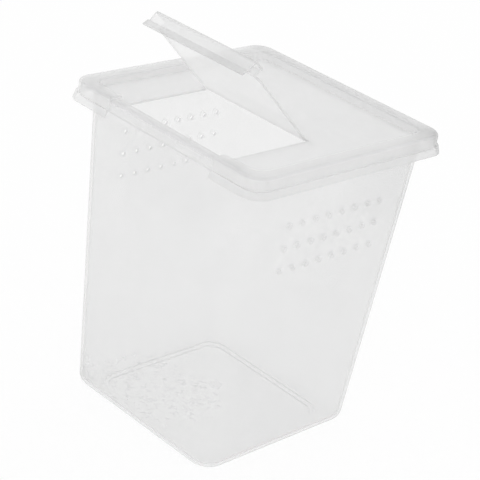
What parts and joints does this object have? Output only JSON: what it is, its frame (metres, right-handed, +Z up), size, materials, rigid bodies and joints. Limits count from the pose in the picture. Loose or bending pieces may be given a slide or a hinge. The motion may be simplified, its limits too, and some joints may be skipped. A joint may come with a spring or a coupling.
{
  "type": "queen cage",
  "caption": "Square tapered translucent tub with rows of small side vents, a push-on lid with a flared skirt, and a living-hinged flap over a rectangular port.",
  "frame": {"origin": "centre of the base, in the plane that the foot ring stands on", "axes": "+Z up out of the tub's mouth, +X and -X through the two vented walls, -Y through the wall on which the flap closes"},
  "size_m": [0.1034, 0.1034, 0.1611],
  "materials": {
    "tub_plastic": "milky translucent polypropylene, semi-gloss",
    "lid_plastic": "milky translucent polypropylene, semi-gloss"
  },
  "bodies": {
    "tub": {"tub": "tub_plastic"},
    "lid": {"lid_frame": "lid_plastic"},
    "flap": {"flap": "lid_plastic"}
  },
  "joints": [
    {"name": "lid_lift", "type": "slide", "parent": "tub", "child": "lid", "axis": [0, 0, 1], "range_m": [0, 0.06]},
    {"name": "flap_hinge", "type": "hinge", "parent": "lid", "child": "flap", "pos_m": [0, -0.0012, 0.1258], "axis": [-1, 0, 0], "range_deg": [-43.3, 116.7]}
  ]
}
